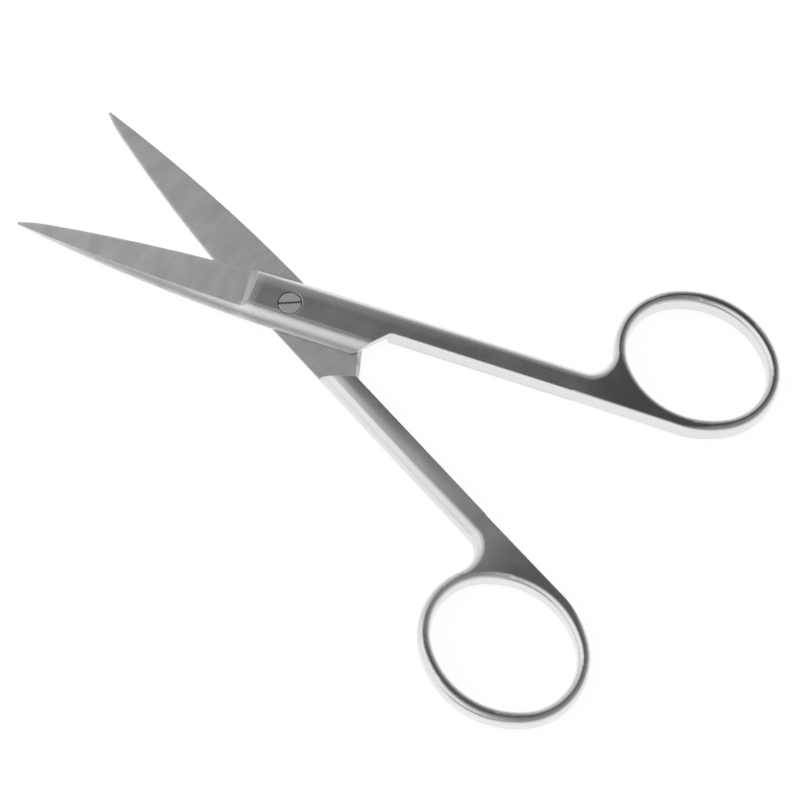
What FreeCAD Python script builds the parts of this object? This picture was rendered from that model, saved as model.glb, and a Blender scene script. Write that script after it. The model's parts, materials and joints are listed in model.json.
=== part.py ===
import FreeCAD, Part
import math
import os
import Sketcher
from FreeCAD import Placement, Rotation, Vector

# Straight sharp-pointed dental scissors, 14 cm long, in satin stainless steel.
# Two forged halves of one form cross at a slotted pivot screw.
# Millimetres and degrees. +Z is up, the scissors lie on their back half, X runs from the tips to the rings,
# and the origin is under the middle of the open scissors.
#
# Each half is drawn in its own frame, as it lies when the scissors are shut: the pivot is the origin,
# the inner face is the plane z = 0, X runs to the ring and Y to the half's own side, where its ring is.

SIZES = [
    ("rest_angle", 29.6, "angle between the halves as they lie open"),
    ("half_thickness", 2.25, "inner face to outer face, at the joint and along the shank"),
    ("cutting_side", 5.1, "pivot axis to the side of the half where its ring is"),
    ("heel_side", 5.0, "pivot axis to the side of the joint plate that has the heel"),
    ("blade_length", 53.4, "pivot axis to tip"),
    ("tip_width", 0.45, "blunt end of the point"),
    ("cutting_start", 6.8, "pivot axis to where the cutting edge starts to curve in"),
    ("cutting_radius", 385.0, "long curve of the cutting edge"),
    ("point_radius", 33.0, "quicker curve of the cutting edge at the point"),
    ("point_curve", 5.6, "length of the quicker curve"),
    ("back_start", 2.0, "pivot axis to where the back of the blade starts to curve in"),
    ("facet_angle", 12.5, "slope of the ground facet"),
    ("edge_land", 0.06, "height of the cutting edge where the facet meets it"),
    ("facet_end", 8.8, "pivot axis to the foot of the facet's run-out"),
    ("runout_angle", 58.0, "slope of the run-out"),
    ("runout_round", 1.2, "inside curve from the facet up into the run-out"),
    ("back_round", 4.36, "radius of the rounded back"),
    ("back_reach", 2.56, "how far in the rounded back reaches on the outer face"),
    ("back_land", 0.2, "upright strip between the inner face and the rounded back"),
    ("shoulder_end", 19.1, "pivot axis to where the shoulder meets the shank"),
    ("shoulder_angle", 47.0, "slope of the shoulder in plan"),
    ("shank_root", 8.0, "shoulder to where the shank's bar starts, under the joint plate"),
    ("shoulder_bevel", 0.7, "bevel of the shoulder at the inner face"),
    ("corner_radius", 1.4, "inside corner of shoulder and shank"),
    ("heel_radius", 2.2, "outside corner of the heel"),
    ("stop_gap", 0.12, "left between heel and step when shut"),
    ("shank_gap", 0.35, "centre line to the flat inner wall of the shank"),
    ("crown_flat", 0.15, "flat strip at the shank's inner edge"),
    ("crown_radius", 20.2, "crown across the shank and the joint plate"),
    ("side_strip", 0.15, "half of the upright strip along the shank's outer side"),
    ("web_blend", 14.0, "length over which the shank's crown flattens towards the web"),
    ("web_lead", 0.85, "start of the web to the start of the crotch's curve"),
    ("crotch_radius", 4.0, "inside curve between shank and ring"),
    ("ring_x", 72.14, "pivot axis to the ring's centre, along the half"),
    ("ring_clear", 0.15, "centre line to the ring"),
    ("ring_turn", 13.6, "ring's long axis from the line of the shank"),
    ("hole_long", 26.1, "finger hole, long way"),
    ("hole_short", 21.5, "finger hole, short way"),
    ("end_band", 2.15, "width of the ring at its two ends"),
    ("side_band", 2.42, "width of the ring at its two sides"),
    ("crest_flat", 0.05, "flat strip left along the ring's crest where it is narrowest"),
    ("foot_round", 0.25, "rounding of the ring's outer edge where it leaves the shank's inner wall"),
    ("foot_kink", 1.5, "turn from the shank's inner wall into the ring"),
    ("head_radius", 2.1, "screw head"),
    ("head_height", 0.97, "screw head"),
    ("head_bevel", 0.14, "bevel of the head's rim"),
    ("slot_width", 0.42, "screwdriver slot"),
    ("slot_depth", 0.5, "screwdriver slot"),
    ("slot_turn", 38.0, "slot from the line between the halves"),
    ("journal_radius", 1.5, "plain part of the screw, on which the front half turns"),
    ("thread_radius", 1.2, "threaded end of the screw"),
    ("end_recess", 0.05, "threaded end short of the back half's outer face"),
    ("seat_gap", 0.03, "running gap under the screw head"),
    ("head_gap", 0.14, "gap round the screw head"),
    ("running_gap", 0.04, "running gap round the journal"),
    ("thread_gap", 0.02, "gap round the threaded end"),
]

doc = FreeCAD.newDocument("dental_scissors")
sizes = doc.addObject("Spreadsheet::Sheet", "sizes")
for row, (alias, number, note) in enumerate(SIZES, start=1):
    sizes.set("A%d" % row, alias)
    sizes.set("B%d" % row, str(number))
    sizes.set("C%d" % row, note)
    sizes.setAlias("B%d" % row, alias)
doc.recompute()


class Size:
    """A length or an angle, as a number and as the sheet expression that gives it."""

    def __init__(self, number, text):
        self.number = number
        self.text = text

    def joined(self, other, sign, number):
        text = other.text if isinstance(other, Size) else repr(other)
        return Size(number, "(%s %s %s)" % (self.text, sign, text))

    def __add__(self, other):
        return self.joined(other, "+", self.number + plain(other))

    def __sub__(self, other):
        return self.joined(other, "-", self.number - plain(other))

    def __mul__(self, other):
        return self.joined(other, "*", self.number * plain(other))

    def __truediv__(self, other):
        return self.joined(other, "/", self.number / plain(other))

    def __neg__(self):
        return Size(-self.number, "(-1 * %s)" % self.text)


def plain(value):
    return value.number if isinstance(value, Size) else float(value)


def size(alias):
    return Size(float(sizes.get(alias)), "sizes.%s" % alias)


def tangent(angle):
    return Size(math.tan(math.radians(angle.number)), "tan(%s * 1 deg)" % angle.text)


def sine(angle):
    return Size(math.sin(math.radians(angle.number)), "sin(%s * 1 deg)" % angle.text)


def cosine(angle):
    return Size(math.cos(math.radians(angle.number)), "cos(%s * 1 deg)" % angle.text)


def root(value):
    return Size(math.sqrt(value.number), "sqrt(%s)" % value.text)


ZERO = Size(0.0, "0")
RIGHT_ANGLE = Size(90.0, "90")
# How far a cut runs on past the form that it trims.
MARGIN = Size(1.0, "1")
# Places nearer than this are the same place.
TOLERANCE = 0.001


def bind(target, path, value):
    """Ties one property of an object to the sheet."""
    target.setExpression(path, value.text)


def plane(body, role):
    return next(item for item in body.Origin.OriginFeatures if item.Role == role)


def sketch_on(body, name, role="XY_Plane", offset=None, tilt=None):
    """A sketch on one of the body's own planes, moved along the plane's normal and tilted about its x."""
    sketch = body.newObject("Sketcher::SketchObject", name)
    sketch.AttachmentSupport = [(plane(body, role), "")]
    sketch.MapMode = "FlatFace"
    if tilt is not None:
        sketch.AttachmentOffset = Placement(Vector(), Rotation(Vector(1, 0, 0), tilt.number))
        bind(sketch, "AttachmentOffset.Rotation.Angle", tilt)
    if offset is not None:
        bind(sketch, "AttachmentOffset.Base.z", offset)
    return sketch


def rule(sketch, kind, name, value, *where):
    """A named dimension of the sketch, tied to the sheet."""
    index = sketch.addConstraint(Sketcher.Constraint(kind, *where, value.number))
    sketch.renameConstraint(index, name)
    bind(sketch, "Constraints." + name, value)


def pin(sketch, geometry, end, x, y):
    """Holds one point of the sketch at (x, y)."""
    for kind, axis, value in (("DistanceX", -2, x), ("DistanceY", -1, y)):
        if value is ZERO:
            sketch.addConstraint(Sketcher.Constraint("PointOnObject", geometry, end, axis))
        else:
            rule(sketch, kind, "%s_%d_%d" % (kind, geometry, end), value, -1, 1, geometry, end)


def arc_middle(start, end, radius, left):
    """The middle of the minor arc from start to end that bulges to the left or the right of its chord."""
    chord = end - start
    rise = math.sqrt(radius * radius - chord.Length * chord.Length / 4)
    outward = Vector(-chord.y, chord.x, 0).normalize() * (1 if left else -1)
    return (start + end) / 2 + outward * (radius - rise)


def draw(sketch, points, arcs=None, closed=True):
    """Joins the points by lines, or by an arc where arcs[i] = (radius, left) for the stretch after point i."""
    arcs = arcs or {}
    count = len(points)
    stretches = count if closed else count - 1
    spots = [Vector(plain(x), plain(y), 0) for x, y in points]
    first_ends = []
    for i in range(stretches):
        start, end = spots[i], spots[(i + 1) % count]
        if i in arcs:
            radius, left = arcs[i]
            sketch.addGeometry(Part.Arc(start, arc_middle(start, end, radius.number, left), end))
            first_ends.append(2 if left else 1)
        else:
            sketch.addGeometry(Part.LineSegment(start, end))
            first_ends.append(1)
    for i in range(stretches if closed else stretches - 1):
        j = (i + 1) % stretches
        sketch.addConstraint(Sketcher.Constraint("Coincident", i, 3 - first_ends[i], j, first_ends[j]))
    for i in range(stretches):
        pin(sketch, i, first_ends[i], *points[i])
    if not closed:
        pin(sketch, stretches - 1, 3 - first_ends[-1], *points[-1])
    for i, (radius, _) in arcs.items():
        rule(sketch, "Radius", "Radius_%d" % i, radius, i)


def feature(body, kind, name, **settings):
    made = body.newObject("PartDesign::" + kind, name)
    for key, value in settings.items():
        setattr(made, key, value)
    return made


def find_edge(item, wanted):
    """The name of the one edge of an item that is wanted."""
    doc.recompute()
    found = ["Edge%d" % i for i, edge in enumerate(item.Shape.Edges, start=1) if wanted(edge)]
    if len(found) != 1:
        raise ValueError("expected one edge, found %d" % len(found))
    return found[0]


def edge_at(item, x, y, z):
    """The edge whose middle is at (x, y, z)."""
    place = Vector(plain(x), plain(y), plain(z))
    return find_edge(item, lambda edge: (edge.CenterOfMass - place).Length < TOLERANCE)


def upright_edge(item, x, y):
    """The upright edge over (x, y)."""
    def wanted(edge):
        rises = abs(edge.firstVertex().Point.z - edge.lastVertex().Point.z) > TOLERANCE
        middle = edge.CenterOfMass
        return rises and math.hypot(middle.x - plain(x), middle.y - plain(y)) < TOLERANCE
    return find_edge(item, wanted)


half_thickness = size("half_thickness")
cutting_side = size("cutting_side")
heel_side = size("heel_side")
blade_length = size("blade_length")
cutting_start = size("cutting_start")
cutting_radius = size("cutting_radius")
point_radius = size("point_radius")
back_start = size("back_start")
shoulder_end = size("shoulder_end")
shoulder_slope = tangent(size("shoulder_angle"))
shank_gap = size("shank_gap")
shank_start = shoulder_end - size("shank_root")
crown_start = shank_gap + size("crown_flat")
side_strip = size("side_strip")
web_round = half_thickness - side_strip


def cutting_edge(x):
    """How far across the long curve of the cutting edge lies at x."""
    reach = x - cutting_start
    return cutting_side - cutting_radius + root(cutting_radius * cutting_radius - reach * reach)


# The quicker curve at the point is tangent to the long curve.
point_x = -blade_length
curve_x = size("point_curve") - blade_length
curve_y = cutting_edge(curve_x)
curve_share = point_radius / cutting_radius
point_centre_x = curve_x + (cutting_start - curve_x) * curve_share
point_centre_y = curve_y + (cutting_side - cutting_radius - curve_y) * curve_share


def point_edge(x):
    """How far across the quicker curve at the point lies at x."""
    reach = x - point_centre_x
    return point_centre_y + root(point_radius * point_radius - reach * reach)


# The back is one curve, tangent to the straight side of the plate, that ends at the point.
point_y = point_edge(point_x)
back_y = point_y - size("tip_width")
back_rise = back_y + heel_side
back_run = back_start + blade_length
back_radius = (back_run * back_run + back_rise * back_rise) / (back_rise * 2)


def back_edge(x):
    """How far across the back of the blade lies at x."""
    reach = x - back_start
    return back_radius - heel_side - root(back_radius * back_radius - reach * reach)


# The crown runs from the flat strip on and is tangent to the rounding of the outer side.
crown_radius = size("crown_radius")
crown_width = cutting_side - crown_start
crown_bend = crown_radius * web_round * 2 - web_round * web_round - crown_width * crown_width
side_radius = crown_bend / ((crown_radius - crown_width) * 2)
side_share = side_radius / (crown_radius - side_radius)
side_y = cutting_side - side_radius
meet_y = side_y + (side_y - crown_start) * side_share
meet_z = side_strip + (crown_radius - web_round) * side_share


class Oval:
    """An oval of four arcs, each tangent to the next, by the draughtsman's four-centre construction."""

    def __init__(self, long, short):
        half_long = long / 2
        half_short = short / 2
        chord = root(half_long * half_long + half_short * half_short)
        self.end_radius = chord * (chord - half_long + half_short) / long
        self.side_radius = chord * (chord + half_long - half_short) / short
        self.end_reach = half_long - self.end_radius
        self.side_reach = self.side_radius - half_short
        forward = self.end_reach + self.end_radius * half_short / chord
        sideways = self.end_radius * half_long / chord
        self.corners = [(forward, -sideways), (forward, sideways), (-forward, sideways), (-forward, -sideways)]


# The ring stands off the centre line, and its band has a width of its own at the ends and at the sides.
ring_turn = size("ring_turn")
end_band = size("end_band")
side_band = size("side_band")
opening = Oval(size("hole_long"), size("hole_short"))
rim = Oval(size("hole_long") + end_band * 2, size("hole_short") + side_band * 2)
ring_x = size("ring_x")
ring_y = size("ring_clear") + rim.side_radius - cosine(ring_turn) * rim.side_reach


def ring_place(forward, sideways):
    """The place that far along and across the ring from its centre."""
    x = ring_x + cosine(ring_turn) * forward + sine(ring_turn) * sideways
    y = ring_y - sine(ring_turn) * forward + cosine(ring_turn) * sideways
    return x, y


# The crotch is tangent to the shank's outer side and to the ring's near end.
crotch_radius = size("crotch_radius")
near_end_x, near_end_y = ring_place(-rim.end_reach, ZERO)
crotch_y = cutting_side + crotch_radius
crotch_span = rim.end_radius + crotch_radius
crotch_rise = near_end_y - crotch_y
crotch_run = root(crotch_span * crotch_span - crotch_rise * crotch_rise)
crotch_x = near_end_x - crotch_run
web_start = crotch_x - size("web_lead")


def foot_of_ring():
    """Where the line of the shank's inner wall meets the ring's side, all but tangent to it."""
    kink = size("foot_kink")
    centre_x, centre_y = ring_place(ZERO, rim.side_reach)
    run = centre_x - web_start
    rise = centre_y - shank_gap
    offset = rim.side_radius * cosine(kink)
    square = run * run + rise * rise
    reach = root(square - offset * offset)
    share = (reach - rim.side_radius * sine(kink)) / square
    return web_start + (run * reach + rise * offset) * share, shank_gap + (rise * reach - run * offset) * share


def lap_plate(body):
    """The blade and the joint plate, cut to their outline from one side of a crowned bar."""
    waste = heel_side + MARGIN
    bar = sketch_on(body, "bar_section", "YZ_Plane", shoulder_end + MARGIN)
    draw(bar, [
        (-waste, ZERO),
        (cutting_side, ZERO),
        (cutting_side, side_strip),
        (meet_y, meet_z),
        (crown_start, half_thickness),
        (-waste, half_thickness),
    ], {2: (side_radius, False), 3: (crown_radius, False)})
    blank = feature(body, "Pad", "blank", Profile=bar, Reversed=True)
    bind(blank, "Length", shoulder_end + blade_length + MARGIN * 2)

    heel_x = shoulder_end - (shank_gap + heel_side) / shoulder_slope
    far_x = blade_length + MARGIN * 2
    far_y = cutting_side + MARGIN * 2
    near_x = shoulder_end + MARGIN * 2
    outline = sketch_on(body, "outline")
    draw(outline, [
        (near_x, shank_gap),
        (shoulder_end, shank_gap),
        (heel_x, -heel_side),
        (back_start, -heel_side),
        (point_x, back_y),
        (point_x, point_y),
        (curve_x, curve_y),
        (cutting_start, cutting_side),
        (cutting_start, cutting_side + MARGIN),
        (near_x, cutting_side + MARGIN),
        (near_x, far_y),
        (-far_x, far_y),
        (-far_x, -far_y),
        (near_x, -far_y),
    ], {3: (back_radius, True), 5: (point_radius, True), 6: (cutting_radius, True)})
    trimmed = feature(body, "Pocket", "trimmed", Profile=outline, Type="ThroughAll", Midplane=True)

    shoulder = edge_at(trimmed, (heel_x + shoulder_end) / 2, (shank_gap - heel_side) / 2, ZERO)
    bevel = feature(body, "Chamfer", "shoulder_bevel", Base=(trimmed, [shoulder]))
    bind(bevel, "Size", size("shoulder_bevel"))
    inside = upright_edge(bevel, shoulder_end, shank_gap)
    corner = feature(body, "Fillet", "shoulder_corner", Base=(bevel, [inside]))
    bind(corner, "Radius", size("corner_radius"))
    outside = upright_edge(corner, heel_x, -heel_side)
    heel = feature(body, "Fillet", "heel_corner", Base=(corner, [outside]))
    bind(heel, "Radius", size("heel_radius"))


def rounded_back(body):
    """The rounded back, cut along the heel side of the plate and on to the point."""
    start_x = shoulder_end + MARGIN
    end_x = point_x - MARGIN * 2
    back_round = size("back_round")
    reach = size("back_reach")
    land = size("back_land")
    rise = half_thickness - land
    square = reach * reach + rise * rise
    bend = root(back_round * back_round / square - Size(0.25, "0.25"))
    centre_y = reach / 2 + rise * bend - heel_side
    centre_z = land + rise / 2 - reach * bend
    low = centre_z + MARGIN
    low_y = centre_y - root(back_round * back_round - low * low)
    high_y = reach - heel_side
    profile = sketch_on(body, "back_profile", "YZ_Plane", start_x)
    draw(profile, [
        (low_y, -MARGIN),
        (high_y, half_thickness),
        (high_y, half_thickness + MARGIN),
        (low_y - MARGIN, half_thickness + MARGIN),
        (low_y - MARGIN, -MARGIN),
    ], {0: (back_round, True)})
    path = sketch_on(body, "back_path")
    draw(path, [
        (start_x, -heel_side),
        (back_start, -heel_side),
        (end_x, back_edge(end_x)),
    ], {1: (back_radius, True)}, closed=False)
    feature(body, "SubtractivePipe", "rounded_back", Profile=profile, Spine=(path, []), Mode="Fixed")


def ground_facet(body):
    """The ground facet beside the cutting edge, which ends in a steep run-out at the joint plate."""
    start_x = -size("facet_end")
    start_y = cutting_edge(start_x)
    end_x = point_x - MARGIN * 2
    lean = size("runout_angle")
    slope = tangent(size("facet_angle"))
    land = size("edge_land")
    reach = cutting_side + heel_side + MARGIN * 4
    stretch = sine(lean)
    top = (land + reach * slope + MARGIN) / stretch
    profile = sketch_on(body, "facet_profile", "YZ_Plane", start_x, RIGHT_ANGLE - lean)
    draw(profile, [
        (start_y + MARGIN, (land - MARGIN * slope) / stretch),
        (start_y + MARGIN, top),
        (start_y - reach, top),
        (start_y - reach, (land + reach * slope) / stretch),
    ])
    path = sketch_on(body, "facet_path")
    draw(path, [
        (start_x, start_y),
        (curve_x, curve_y),
        (end_x, point_edge(end_x)),
    ], {0: (cutting_radius, False), 1: (point_radius, False)}, closed=False)
    ground = feature(body, "SubtractivePipe", "ground_facet", Profile=profile, Spine=(path, []), Mode="Fixed")

    steepness = tangent(lean)

    def is_runout_foot(edge):
        """Whether an edge is the line in which facet and run-out meet."""
        places = [vertex.Point for vertex in edge.Vertexes]
        return len(places) == 2 and all(
            abs(place.z - plain(land + (start_y - place.y) * slope)) < TOLERANCE
            and abs(place.x - plain(start_x) - place.z / steepness.number) < TOLERANCE
            for place in places)

    corner = feature(body, "Fillet", "runout_corner", Base=(ground, [find_edge(ground, is_runout_foot)]))
    bind(corner, "Radius", size("runout_round"))


def shank_section(body, name, x, is_crowned=True):
    """The whole section of the shank at x, which at the web is flat on top."""
    sketch = sketch_on(body, name, "YZ_Plane", x)
    if is_crowned:
        corner_y, corner_z, round_arc = meet_y, meet_z, (side_radius, False)
    else:
        corner_y, corner_z, round_arc = cutting_side - web_round, half_thickness, (web_round, False)
    arcs = {2: round_arc, 4: round_arc}
    if is_crowned:
        arcs[1] = arcs[5] = (crown_radius, False)
    draw(sketch, [
        (shank_gap, -half_thickness),
        (crown_start, -half_thickness),
        (corner_y, -corner_z),
        (cutting_side, -side_strip),
        (cutting_side, side_strip),
        (corner_y, corner_z),
        (crown_start, half_thickness),
        (shank_gap, half_thickness),
    ], arcs)
    return sketch


def shank(body):
    """The shank, full thickness from the step of the lap joint to the web."""
    straight_end = web_start - size("web_blend")
    bar_end = shank_section(body, "shank_end", straight_end)
    bar = feature(body, "Pad", "shank_bar", Profile=bar_end, Reversed=True)
    bind(bar, "Length", straight_end - shank_start)
    blend_start = shank_section(body, "blend_start", straight_end)
    blend_end = shank_section(body, "blend_end", web_start, is_crowned=False)
    feature(body, "AdditiveLoft", "shank_blend", Profile=blend_start, Sections=[(blend_end, [""])], Ruled=True)

    # The step lies along the other half's shoulder when the scissors are shut, the stop gap away.
    stop_reach = size("stop_gap") / sine(size("shoulder_angle"))
    step_foot = shoulder_end + stop_reach - (shank_gap * 2) / shoulder_slope
    above = cutting_side + MARGIN
    below = shank_gap - MARGIN
    step = sketch_on(body, "step")
    draw(step, [
        (shank_start - MARGIN, below),
        (step_foot + (shank_gap - below) / shoulder_slope, below),
        (step_foot - (above - shank_gap) / shoulder_slope, above),
        (shank_start - MARGIN, above),
    ])
    feature(body, "Pocket", "lap_cut", Profile=step, Type="ThroughAll")


def ring_plate(body):
    """The web and the ring: one plate, whose outline runs from the shank round the ring and back."""
    share = crotch_radius / crotch_span
    crotch_end = (crotch_x + crotch_run * share, crotch_y + crotch_rise * share)
    corners = [ring_place(*corner) for corner in rim.corners]
    outline = sketch_on(body, "ring_outline")
    draw(outline, [
        (web_start, cutting_side),
        (web_start, shank_gap),
        foot_of_ring(),
        corners[0],
        corners[1],
        corners[2],
        crotch_end,
        (crotch_x, cutting_side),
    ], {
        2: (rim.side_radius, False),
        3: (rim.end_radius, False),
        4: (rim.side_radius, False),
        5: (rim.end_radius, False),
        6: (crotch_radius, True),
    })
    plate = feature(body, "Pad", "plate", Profile=outline, Midplane=True)
    bind(plate, "Length", half_thickness * 2)

    hole = sketch_on(body, "hole_outline")
    draw(hole, [ring_place(*corner) for corner in opening.corners], {
        0: (opening.end_radius, False),
        1: (opening.side_radius, False),
        2: (opening.end_radius, False),
        3: (opening.side_radius, False),
    })
    feature(body, "Pocket", "finger_hole", Profile=hole, Type="ThroughAll", Midplane=True)


def rounded_ring(name, body):
    """The ring plate with its edges rounded: more along the web's outer side, less from the inner wall."""
    ring_round = (min(end_band.number, side_band.number) - plain(size("crest_flat"))) / 2
    foot_round = plain(size("foot_round"))
    doc.recompute()
    rims = [(i, edge) for i, edge in enumerate(body.Shape.Edges, start=1)
            if abs(edge.CenterOfMass.z) > half_thickness.number - TOLERANCE]
    straight = [edge for _, edge in rims if edge.Curve.TypeId == "Part::GeomLine"]
    corners = [vertex.Point for edge in straight for vertex in edge.Vertexes]

    def is_outer(place):
        return place.y > cutting_side.number - TOLERANCE

    def rounding(vertex):
        """The rounding at one end of an edge."""
        place = vertex.Point
        if all((place - corner).Length > TOLERANCE for corner in corners):
            return ring_round
        return web_round.number if is_outer(place) else foot_round

    rounded = doc.addObject("Part::Fillet", name)
    rounded.Base = body
    rounded.Edges = [(i, rounding(edge.firstVertex()), rounding(edge.lastVertex())) for i, edge in rims
                     if edge not in straight or is_outer(edge.CenterOfMass)]
    return rounded


def round_hole(body, name, radius, depth=None):
    """A hole on the pivot axis, through the plate or down from its outer face."""
    sketch = sketch_on(body, name + "_circle", "XY_Plane", half_thickness)
    sketch.addGeometry(Part.Circle(Vector(), Vector(0, 0, 1), radius.number))
    sketch.addConstraint(Sketcher.Constraint("Coincident", 0, 3, -1, 1))
    rule(sketch, "Radius", "radius", radius, 0)
    hole = feature(body, "Pocket", name, Profile=sketch)
    if depth is None:
        hole.Type = "ThroughAll"
    else:
        bind(hole, "Length", depth)


def half(name, bore):
    """One half of the scissors, in its own frame."""
    bar = doc.addObject("PartDesign::Body", name + "_bar")
    doc.recompute()
    lap_plate(bar)
    rounded_back(bar)
    ground_facet(bar)
    shank(bar)
    bore(bar)
    ring = doc.addObject("PartDesign::Body", name + "_ring")
    doc.recompute()
    ring_plate(ring)
    whole = doc.addObject("Part::MultiFuse", name)
    whole.Shapes = [bar, rounded_ring(name + "_rounded_ring", ring)]
    whole.Refine = True
    return whole


def front_bore(body):
    """The running hole for the journal, and the recess that the screw head sits in."""
    round_hole(body, "head_recess", size("head_radius") + size("head_gap"), size("head_height") + size("seat_gap"))
    round_hole(body, "journal_hole", size("journal_radius") + size("running_gap"))


def back_bore(body):
    """The tapped hole for the screw's end."""
    round_hole(body, "tapped_hole", size("thread_radius") + size("thread_gap"))


def pivot_screw(name):
    """A slotted shoulder screw: it turns tight into the back half, and the front half runs on its journal."""
    body = doc.addObject("PartDesign::Body", name)
    doc.recompute()
    head_radius = size("head_radius")
    journal_radius = size("journal_radius")
    thread_radius = size("thread_radius")
    bevel = size("head_bevel")
    seat = half_thickness - size("head_height")
    end = size("end_recess") - half_thickness
    profile = sketch_on(body, "screw_profile", "XZ_Plane")
    draw(profile, [
        (ZERO, end),
        (thread_radius, end),
        (thread_radius, ZERO),
        (journal_radius, ZERO),
        (journal_radius, seat),
        (head_radius, seat),
        (head_radius, half_thickness - bevel),
        (head_radius - bevel, half_thickness),
        (ZERO, half_thickness),
    ])
    feature(body, "Revolution", "turned_screw", Profile=profile, ReferenceAxis=(profile, ["V_Axis"]), Angle=360)
    slot_half = size("slot_width") / 2
    slot_end = head_radius + MARGIN
    slot_outline = sketch_on(body, "slot_outline", "XY_Plane", half_thickness)
    draw(slot_outline, [
        (-slot_end, -slot_half),
        (slot_end, -slot_half),
        (slot_end, slot_half),
        (-slot_end, slot_half),
    ])
    slot = feature(body, "Pocket", "slot", Profile=slot_outline)
    bind(slot, "Length", size("slot_depth"))
    return body


front = half("front_half", front_bore)
back = half("back_half", back_bore)
screw = pivot_screw("pivot_screw")
nodes = [front, back, screw]
doc.recompute()

# The halves lie open by the rest angle, the front one over the back one, which is the same form turned over.
UP = Vector(0, 0, 1)
turned_over = Rotation(Vector(1, 0, 0), 180)
half_angle = plain(size("rest_angle")) / 2
front.Placement = Placement(Vector(), Rotation(UP, half_angle))
back.Placement = Placement(Vector(), Rotation(UP, -half_angle) * turned_over)
screw.Placement = Placement(Vector(), Rotation(UP, plain(size("slot_turn"))))
doc.recompute()
reach = FreeCAD.BoundBox()
for node in nodes:
    reach.add(node.Shape.optimalBoundingBox(True, False))
lift = Vector(-reach.Center.x, 0, half_thickness.number)
for node in nodes:
    node.Placement = Placement(lift, node.Placement.Rotation)
doc.recompute()

for item in doc.Objects:
    if "Invalid" in item.State or "Error" in item.State:
        raise RuntimeError("%s failed: %s" % (item.Name, item.State))
for node in nodes:
    if node.Shape.isNull() or not node.Shape.isValid() or len(node.Shape.Solids) != 1:
        raise RuntimeError("%s is not one valid solid" % node.Name)

os.makedirs("parts", exist_ok=True)
for node in nodes:
    node.Shape.exportStep(os.path.join("parts", node.Label + ".step"))
    print(node.Label, round(node.Shape.Volume, 2), "mm3")
print("pivot axis at x = %.4f mm" % lift.x)
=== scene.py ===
import json
import math

import bpy
from mathutils import Matrix, Vector

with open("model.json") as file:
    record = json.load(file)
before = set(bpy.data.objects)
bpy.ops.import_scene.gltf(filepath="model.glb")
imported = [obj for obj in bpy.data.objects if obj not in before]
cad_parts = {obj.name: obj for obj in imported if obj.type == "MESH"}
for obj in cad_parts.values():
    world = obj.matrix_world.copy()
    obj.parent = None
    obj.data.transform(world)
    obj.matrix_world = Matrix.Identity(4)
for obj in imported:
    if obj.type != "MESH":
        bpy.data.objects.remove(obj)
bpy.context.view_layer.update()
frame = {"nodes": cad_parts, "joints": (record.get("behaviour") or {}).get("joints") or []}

# Dental scissors of satin stainless steel, which lie open on a white sheet.
# Metres. X runs from the tips to the finger rings, Z is up, and the sheet is the plane Z = 0.
#
# Each half has its own directions: along it to the ring, across it to the side where its ring is,
# and up from its inner face. The steel is finished by them, in millimetres from the pivot.

PIVOT = Vector(frame["joints"][0]["pos_m"])
MM_PER_M = 1000.0
# Each half is turned by this from the line between the two, the front half one way and the back
# half the other.
HALF_ANGLE = math.radians(14.8)
# The ground facet leans by this towards the cutting edge.
FACET_ANGLE = math.radians(12.5)

STEEL = (0.79, 0.79, 0.795, 1)
# Painted shade: the steel's colour deep in cavities.
STEEL_IN_SHADE = (0.33, 0.33, 0.335, 1)

# A pair is the two values between which something eases from none to full.
# Places along a half:
FACET_FROM = (-8.2, -8.8)
RUNOUT_FROM = (-5.0, -6.5)
PLATE_TIP_END = (-9.6, -7.4)
PLATE_SHANK_END = (34.0, 8.0)
SHANK_TO_WEB = (20.0, 50.0)
RING_FROM = (50.0, 62.0)
WEB_TO_RING = (56.0, 66.0)
# Distances from the plane of the inner faces:
AT_LAP = (0.3, 0.1)
OFF_LAP = (0.5, 1.0)
# How far a surface faces one way, as a cosine:
FACES_AS_FACET = (0.992, 0.998)
FACES_INWARD = (-0.9, -0.99)
FACES_PARTLY_INWARD = (-0.6, -0.9)
FACES_TIP = (-0.15, -0.4)
# Levels of a noise:
GRAIN_SPREAD = (0.25, 0.75)
WEAR_SPREAD = (0.35, 0.7)
PASS_SPREAD = (0.3, 0.7)
LINE_SPREAD = (0.3, 0.7)
# How open a spot is to the light, for the painted shade in cavities:
OPEN_SPREAD = (0.3, 0.85)

# How much the noise of the streaks is drawn out along, across and up, as repeats to a millimetre.
BRUSHED_STREAKS = (0.16, 8.0, 8.0)
GROUND_STREAKS = (3.0, 0.14, 0.14)
WHEEL_PASSES = (0.33, 0.1, 0.1)
WEAR_SCALE = 0.22
TURNED_LINES_SCALE = 9.0

# Roughness of the outer side, and of the plainer side towards the other half.
BRUSHED, BUFFED, GROUND = 0.28, 0.2, 0.48
PLAIN_SHANK, PLAIN_WEB, PLAIN_RING = 0.23, 0.36, 0.24
# Height of the grain, as a share of the deepest.
BRUSHED_GRAIN, PLAINER_GRAIN, GROUND_GRAIN, BUFFED_GRAIN = 0.03, 0.12, 0.6, 0.03

# Painted shade darkens the steel's colour in cavities within this distance of another surface, in
# metres.
CAVITY_REACH = 0.0006
NODE_SAMPLES = 4

# Parts of the light tent: a direction, and the angles from it, in degrees, at which the part has
# faded out and is full.
DARK_OPENING = ((-0.18, 0.39, 0.9), 23, 10)
BACK_WALL = ((0.15, 0.95, 0.3), 60, 25)
FRONT_GAP = ((-0.02, -0.99, 0.08), 34, 14)
WHITE_CARD = ((-0.5, -0.6, 0.62), 52, 16)
LEFT_LAMP = ((-0.6, 0.2, 0.77), 40, 10)
# The tent's level by height, from level with the object to straight above it.
TENT_BY_HEIGHT = ((0.0, 1.0), (0.2, 0.75), (0.5, 0.42), (0.75, 0.28), (1.0, 0.22))


def grey(level):
    return (level, level, level, 1)


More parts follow.
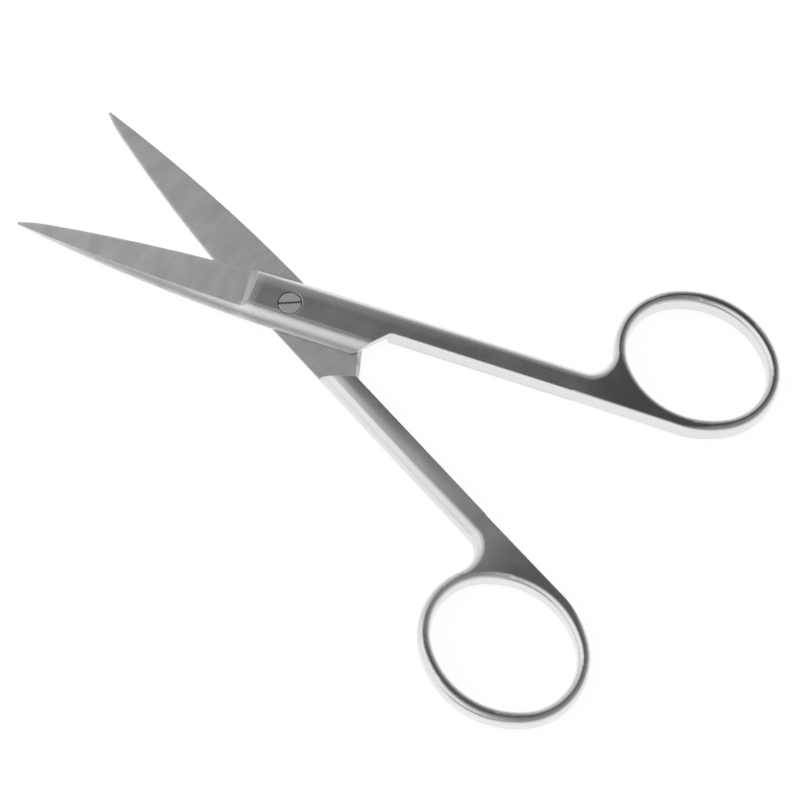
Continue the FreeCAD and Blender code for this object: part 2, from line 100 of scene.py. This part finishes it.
def node_group(name, inputs, outputs):
    """An empty shader node group with named inputs and outputs."""
    group = bpy.data.node_groups.new(name, "ShaderNodeTree")
    for title, kind, value in inputs:
        socket = group.interface.new_socket(title, in_out="INPUT", socket_type=kind)
        socket.default_value = value
    for title, kind in outputs:
        group.interface.new_socket(title, in_out="OUTPUT", socket_type=kind)
    start = group.nodes.new("NodeGroupInput")
    end = group.nodes.new("NodeGroupOutput")
    return group, start.outputs, end.inputs


def add(tree, kind, links=None, **settings):
    """A new node, with its settings, and its inputs set to values or linked to other sockets."""
    node = tree.nodes.new(kind)
    for key, value in settings.items():
        setattr(node, key, value)
    for key, value in (links or {}).items():
        if isinstance(value, bpy.types.NodeSocket):
            tree.links.new(value, node.inputs[key])
        else:
            node.inputs[key].default_value = value
    return node


def sums(tree, operation, first, second=0.0):
    """The result of one sum."""
    return add(tree, "ShaderNodeMath", {0: first, 1: second}, operation=operation).outputs[0]


def times(tree, first, second):
    return sums(tree, "MULTIPLY", first, second)


def plus(tree, first, second):
    return sums(tree, "ADD", first, second)


def vector_sums(tree, operation, first, second):
    """The result of one sum of vectors."""
    node = add(tree, "ShaderNodeVectorMath", {0: first, 1: second}, operation=operation)
    return node.outputs[0]


def match(tree, direction, way):
    """How far a direction agrees with another, as the cosine of the angle between them."""
    node = add(tree, "ShaderNodeVectorMath", {0: direction, 1: way}, operation="DOT_PRODUCT")
    return node.outputs["Value"]


def split(tree, vector):
    """The three parts of a vector."""
    return tuple(add(tree, "ShaderNodeSeparateXYZ", {0: vector}).outputs)


def ease(tree, value, low, high, at_low=0.0, at_high=1.0):
    """Eases from one value to another while the input goes from low to high."""
    node = add(tree, "ShaderNodeMapRange", {
        "Value": value, "From Min": low, "From Max": high, "To Min": at_low, "To Max": at_high,
    }, interpolation_type="SMOOTHSTEP")
    return node.outputs[0]


def blend(tree, share, first, second):
    """A colour or a number between two."""
    is_colour = isinstance(first, tuple) or isinstance(second, tuple)
    kind, (a, b, result) = ("RGBA", (6, 7, 2)) if is_colour else ("FLOAT", (2, 3, 0))
    node = add(tree, "ShaderNodeMix", {0: share, a: first, b: second}, data_type=kind)
    return node.outputs[result]


def own_place(group, turn, side):
    """Where a spot of the steel is on its half, in millimetres, and which way it faces there."""
    spot = add(group, "ShaderNodeTexCoord").outputs["Object"]
    turned = add(group, "ShaderNodeVectorRotate", {
        "Vector": spot, "Center": PIVOT, "Angle": turn,
    }, rotation_type="Z_AXIS")
    from_pivot = vector_sums(group, "SUBTRACT", turned.outputs[0], PIVOT)
    metres = vector_sums(group, "MULTIPLY", from_pivot, side)
    place = vector_sums(group, "MULTIPLY", metres, (MM_PER_M, MM_PER_M, MM_PER_M))
    surface = add(group, "ShaderNodeNewGeometry").outputs["Normal"]
    local = add(group, "ShaderNodeVectorTransform", {0: surface},
                vector_type="NORMAL", convert_from="WORLD", convert_to="OBJECT")
    facing = add(group, "ShaderNodeVectorRotate", {
        "Vector": local.outputs[0], "Angle": turn,
    }, rotation_type="Z_AXIS")
    return place, vector_sums(group, "MULTIPLY", facing.outputs[0], side)


def streaks(tree, place, stretch, detail):
    """Fine grinding lines: noise drawn out one way."""
    spread = vector_sums(tree, "MULTIPLY", place, stretch)
    return add(tree, "ShaderNodeTexNoise", {
        "Vector": spread, "Scale": 1.0, "Detail": detail, "Roughness": 0.6,
    }).outputs[0]


def steel_with_painted_shade(tree):
    """The steel's colour, with painted shade that darkens it in cavities."""
    openness = add(tree, "ShaderNodeAmbientOcclusion", {"Distance": CAVITY_REACH},
                   samples=NODE_SAMPLES).outputs["AO"]
    return blend(tree, ease(tree, openness, *OPEN_SPREAD), STEEL_IN_SHADE, STEEL)


def joint_crown(group, along, across, inner):
    """How buffing has changed the outside of the joint plate, in millimetres.

    It has rounded the plate a little more towards its outer side and its run-out, and has left
    it fuller where its rounded back starts.
    """
    crest, steepness = 2.0, -0.02
    past_crest = sums(group, "MAXIMUM", sums(group, "SUBTRACT", across, crest), 0.0)
    fall = times(group, times(group, past_crest, past_crest), steepness)
    fuller = ease(group, across, -1.7, -3.1, 0.0, 0.24)
    drop = ease(group, along, -5.6, -9.0, 0.0, -0.12)
    plate = times(group, ease(group, along, *PLATE_TIP_END), ease(group, along, *PLATE_SHANK_END))
    outside = times(group, plate, sums(group, "SUBTRACT", 1.0, inner))
    return times(group, plus(group, plus(group, fall, fuller), drop), outside)


def satin_group():
    """Satin steel: brushed lengthwise, ground crosswise on the facets, the run-outs and the inner
    faces, and buffed on the rings. The side towards the other half is plainer."""
    group, given, result = node_group("satin_steel", [
        ("Turn", "NodeSocketFloat", 0.0),
        ("Side", "NodeSocketVector", (1.0, 1.0, 1.0)),
    ], [
        ("Color", "NodeSocketColor"),
        ("Roughness", "NodeSocketFloat"),
        ("Height", "NodeSocketFloat"),
        ("Crown", "NodeSocketFloat"),
    ])
    place, facing = own_place(group, given["Turn"], given["Side"])
    along, across, up = split(group, place)
    to_ring, _, outward = split(group, facing)
    from_lap = sums(group, "ABSOLUTE", up)

    facet_way = (0.0, math.sin(FACET_ANGLE), math.cos(FACET_ANGLE))
    facet = times(group, ease(group, match(group, facing, facet_way), *FACES_AS_FACET),
                  ease(group, along, *FACET_FROM))
    inner = times(group, ease(group, outward, *FACES_INWARD), ease(group, from_lap, *AT_LAP))
    runout = times(group, ease(group, to_ring, *FACES_TIP), ease(group, along, *RUNOUT_FROM))
    crosswise = sums(group, "MAXIMUM", sums(group, "MAXIMUM", facet, inner), runout)
    ring = ease(group, along, *RING_FROM)
    # The shank's side towards the other half is less finely buffed than the outer one.
    plainer = times(group, ease(group, outward, *FACES_PARTLY_INWARD),
                    ease(group, from_lap, *OFF_LAP))

    grain = blend(group, crosswise, streaks(group, place, BRUSHED_STREAKS, 2.0),
                  streaks(group, place, GROUND_STREAKS, 4.0))
    passes = streaks(group, place, WHEEL_PASSES, 3.0)
    wear = add(group, "ShaderNodeTexNoise", {
        "Vector": place, "Scale": WEAR_SCALE, "Detail": 4.0,
    }).outputs[0]

    group.links.new(joint_crown(group, along, across, inner), result["Crown"])

    depth = blend(group, plainer, BRUSHED_GRAIN, PLAINER_GRAIN)
    depth = blend(group, crosswise, depth, GROUND_GRAIN)
    depth = blend(group, ring, depth, BUFFED_GRAIN)
    group.links.new(times(group, grain, depth), result["Height"])

    outer = blend(group, crosswise, blend(group, ring, BRUSHED, BUFFED), GROUND)
    shank = ease(group, along, *SHANK_TO_WEB, PLAIN_SHANK, PLAIN_WEB)
    plain = blend(group, ease(group, along, *WEB_TO_RING), shank, PLAIN_RING)
    finish = blend(group, plainer, outer, plain)
    finish = plus(group, finish, ease(group, grain, *GRAIN_SPREAD, -0.01, 0.01))
    finish = plus(group, finish, ease(group, wear, *WEAR_SPREAD, -0.01, 0.02))
    group.links.new(finish, result["Roughness"])

    # The grain's tone varies at random, and the run-out's colour is darkened to 0.8 as painted
    # shade.
    shade = times(group, ease(group, grain, *GRAIN_SPREAD, 0.97, 1.02),
                  blend(group, runout, 1.0, 0.8))
    # Each pass over the grinding wheel has left the ground faces a little lighter or darker.
    shade = times(group, shade, blend(group, crosswise, 1.0,
                                      ease(group, passes, *PASS_SPREAD, 0.92, 1.05)))
    # The colour carries painted shade in cavities.
    tint = add(group, "ShaderNodeMix", {0: 1.0, 6: steel_with_painted_shade(group), 7: shade},
               data_type="RGBA", blend_type="MULTIPLY")
    group.links.new(tint.outputs[2], result["Color"])
    return group


def turned_group():
    """The screw's steel: fine rings from turning on its face."""
    group, _, result = node_group("turned_steel", [], [
        ("Color", "NodeSocketColor"),
        ("Roughness", "NodeSocketFloat"),
        ("Height", "NodeSocketFloat"),
    ])
    spot = add(group, "ShaderNodeTexCoord").outputs["Object"]
    from_axis = vector_sums(group, "MULTIPLY", vector_sums(group, "SUBTRACT", spot, PIVOT),
                            (MM_PER_M, MM_PER_M, 0.0))
    radius = add(group, "ShaderNodeVectorMath", {0: from_axis}, operation="LENGTH")
    lines = add(group, "ShaderNodeTexNoise", {
        "W": radius.outputs["Value"], "Scale": TURNED_LINES_SCALE, "Detail": 2.0,
    }, noise_dimensions="1D").outputs[0]
    group.links.new(lines, result["Height"])
    group.links.new(ease(group, lines, *LINE_SPREAD, 0.4, 0.5), result["Roughness"])
    # The screw's colour carries painted shade in cavities.
    group.links.new(steel_with_painted_shade(group), result["Color"])
    return group


def bump(tree, height, strength, distance, normal):
    """The normal, tilted by a height."""
    return add(tree, "ShaderNodeBump", {
        "Strength": strength, "Distance": distance, "Height": height, "Normal": normal,
    }).outputs[0]


def steel(name, finish_group, edge_radius, grain_strength, grain_depth, choices=None):
    """A steel with a group's finish and softened edges. Radius and depth are in metres."""
    material = bpy.data.materials.new(name)
    material.use_nodes = True
    tree = material.node_tree
    shader = tree.nodes["Principled BSDF"]
    finish = add(tree, "ShaderNodeGroup", choices, node_tree=finish_group)
    normal = add(tree, "ShaderNodeBevel", {"Radius": edge_radius}, samples=NODE_SAMPLES).outputs[0]
    if "Crown" in finish.outputs:
        normal = bump(tree, finish.outputs["Crown"], 1.0, 1 / MM_PER_M, normal)
    normal = bump(tree, finish.outputs["Height"], grain_strength, grain_depth, normal)
    tree.links.new(finish.outputs["Color"], shader.inputs["Base Color"])
    tree.links.new(finish.outputs["Roughness"], shader.inputs["Roughness"])
    tree.links.new(normal, shader.inputs["Normal"])
    shader.inputs["Metallic"].default_value = 1
    return material


def dress(node, material):
    """Gives a CAD node its material."""
    for slot in frame["nodes"][node].material_slots:
        slot.material = material


def photo_camera():
    """The camera, at the photograph's distance and angle."""
    sensor_width = 36
    # The focal length is a share of the picture's width, and the angles are in radians.
    focal = 2126.82 / 800
    tilt, bearing, roll = 0.391033, -0.616393, -0.0219406
    # Where the camera sees the pivot: to the right, down and ahead, in units of 1.065 mm.
    seen_at = Vector((-18.5643, -15.5822, 360.414)) * 0.001065
    flip = Matrix.Diagonal((1, -1, -1))
    turn = (Matrix.Rotation(roll, 3, "Z") @ flip
            @ Matrix.Rotation(-tilt, 3, "X") @ Matrix.Rotation(bearing, 3, "Z"))
    data = bpy.data.cameras.new("photo_camera")
    data.sensor_width = sensor_width
    data.lens = focal * sensor_width
    data.clip_start = 0.01
    data.clip_end = 10
    camera = bpy.data.objects.new("photo_camera", data)
    to_world = (turn.transposed() @ flip).to_4x4()
    camera.matrix_world = Matrix.Translation(PIVOT - turn.transposed() @ seen_at) @ to_world
    bpy.context.collection.objects.link(camera)
    bpy.context.scene.camera = camera


def white_sheet():
    """The white sheet that the scissors lie on.

    It shows as white to the camera and in the steel, and keeps a shadow. To the light that it
    throws back it is plain paper.
    """
    shown_colour, shown_glow, paper_colour = 0.14, 0.9, 0.8
    bpy.ops.mesh.primitive_plane_add(size=6, location=(0, 0, 0))
    sheet = bpy.context.object
    sheet.name = "white_sheet"
    material = bpy.data.materials.new("white_paper")
    material.use_nodes = True
    tree = material.node_tree
    tree.nodes.remove(tree.nodes["Principled BSDF"])
    shaded = add(tree, "ShaderNodeBsdfDiffuse", {"Color": grey(shown_colour)})
    glow = add(tree, "ShaderNodeEmission", {"Color": grey(1), "Strength": shown_glow})
    shown = add(tree, "ShaderNodeAddShader", {0: shaded.outputs[0], 1: glow.outputs[0]})
    paper = add(tree, "ShaderNodeBsdfDiffuse", {"Color": grey(paper_colour)})
    rays = add(tree, "ShaderNodeLightPath").outputs
    seen = sums(tree, "MAXIMUM", rays["Is Camera Ray"], rays["Is Glossy Ray"])
    mix = add(tree, "ShaderNodeMixShader", {0: seen, 1: paper.outputs[0], 2: shown.outputs[0]})
    tree.links.new(mix.outputs[0], tree.nodes["Material Output"].inputs["Surface"])
    sheet.data.materials.append(material)


def softbox(name, place, aim, size, power):
    """A large soft lamp, which doesn't show in the steel."""
    data = bpy.data.lights.new(name, "AREA")
    data.shape = "RECTANGLE"
    data.size, data.size_y = size
    data.energy = power
    lamp = bpy.data.objects.new(name, data)
    lamp.location = place
    lamp.visible_glossy = False
    lamp.rotation_euler = (Vector(place) - Vector(aim)).to_track_quat("Z", "Y").to_euler()
    bpy.context.collection.objects.link(lamp)


def toward(tree, direction, part):
    """1 at a part of the tent, easing to 0 round it."""
    way, wide, narrow = part
    return ease(tree, match(tree, direction, Vector(way).normalized()),
                math.cos(math.radians(wide)), math.cos(math.radians(narrow)))


def darkened(tree, level, direction, part, share):
    """The tent's level, brought down to a share of it at one part."""
    return times(tree, level, blend(tree, toward(tree, direction, part), 1.0, share))


def studio():
    """A light tent, bright low down, with a darker back wall, a white card at the front left, a
    lamp on the left, a dark opening high up over the back and a gap low down at the front."""
    world = bpy.data.worlds.new("light_tent")
    bpy.context.scene.world = world
    world.use_nodes = True
    tree = world.node_tree
    background = tree.nodes["Background"]
    direction = add(tree, "ShaderNodeTexCoord").outputs["Generated"]
    height = add(tree, "ShaderNodeSeparateXYZ", {0: direction}).outputs["Z"]
    ramp = add(tree, "ShaderNodeValToRGB", {0: height})
    stops = ramp.color_ramp.elements
    # A new ramp already has its two end stops.
    ends = {0.0: 0, 1.0: -1}
    for position, level in TENT_BY_HEIGHT:
        stop = stops[ends[position]] if position in ends else stops.new(position)
        stop.color = grey(level)
    level = darkened(tree, ramp.outputs[0], direction, BACK_WALL, 0.65)
    level = blend(tree, toward(tree, direction, WHITE_CARD), level, 1.0)
    level = plus(tree, level, times(tree, toward(tree, direction, LEFT_LAMP), 0.28))
    level = darkened(tree, level, direction, DARK_OPENING, 0.17)
    level = darkened(tree, level, direction, FRONT_GAP, 0.45)
    tree.links.new(level, background.inputs["Color"])
    background.inputs["Strength"].default_value = 1


satin = satin_group()
for half, name, turn, side in (
    ("front_half", "front_steel", -HALF_ANGLE, (1, 1, 1)),
    ("back_half", "back_steel", HALF_ANGLE, (1, -1, -1)),
):
    dress(half, steel(name, satin, 0.0003, 0.5, 0.000012, {"Turn": turn, "Side": side}))
dress("pivot_screw", steel("screw_steel", turned_group(), 0.00006, 0.4, 0.000008))
photo_camera()
white_sheet()
studio()
softbox("overhead_softbox", (0.2, 0.2, 1.6), (0, 0, 0), (1.2, 1.2), 9)
bpy.context.scene.view_settings.view_transform = "Standard"
